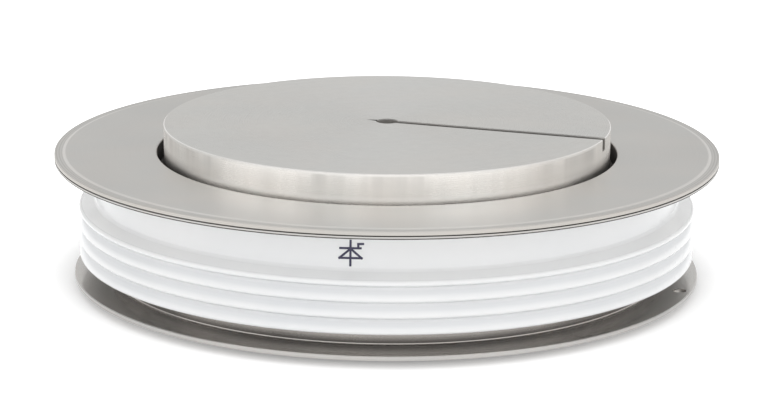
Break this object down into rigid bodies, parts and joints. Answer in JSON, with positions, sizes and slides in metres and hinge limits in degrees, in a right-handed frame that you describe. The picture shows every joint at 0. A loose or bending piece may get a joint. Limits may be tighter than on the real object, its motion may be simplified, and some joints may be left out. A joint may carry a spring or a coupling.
{
  "type": "disc thyristor",
  "caption": "Flat round power semiconductor in a ribbed white ceramic capsule with metal contact faces, clamped between heat sinks to switch large currents.",
  "frame": {"origin": "centre of the anode contact face", "axes": "+Z along the capsule's axis, from the anode face to the cathode face; the gate tab points along +Y"},
  "size_m": [0.15, 0.156, 0.036],
  "materials": {
    "nickel_plate": "fine-turned nickel plate, satin",
    "sheet_metal": "nickel-plated sheet, semi-bright",
    "lid_sheet": "nickel-plated sheet, satin",
    "glazed_alumina": "white glaze, glossy",
    "molybdenum": "lapped",
    "silicon": "metallised",
    "silicone_rubber": "matt",
    "insulating_plastic": "matt",
    "spring_steel": "bright",
    "gate_metal": "gold-plated",
    "tinned_terminal": "tinned",
    "marking_ink": "printed ink, matt"
  },
  "bodies": {
    "root": {"anode_pole": "nickel_plate", "cathode_pole": "nickel_plate", "anode_flange": "sheet_metal", "lower_weld_ring": "sheet_metal", "upper_weld_ring": "sheet_metal", "cathode_flange": "lid_sheet", "ceramic_ring": "glazed_alumina", "anode_disc": "molybdenum", "cathode_disc": "molybdenum", "silicon_wafer": "silicon", "edge_seal": "silicone_rubber", "centring_ring": "insulating_plastic", "gate_bush": "insulating_plastic", "gate_cap": "insulating_plastic", "gate_sleeve": "insulating_plastic", "gate_spring_1": "spring_steel", "gate_spring_2": "spring_steel", "gate_spring_3": "spring_steel", "gate_spring_4": "spring_steel", "gate_contact": "gate_metal", "gate_lead": "gate_metal", "gate_tube": "tinned_terminal", "gate_tab": "tinned_terminal", "cathode_tab": "tinned_terminal"}
  },
  "joints": []
}
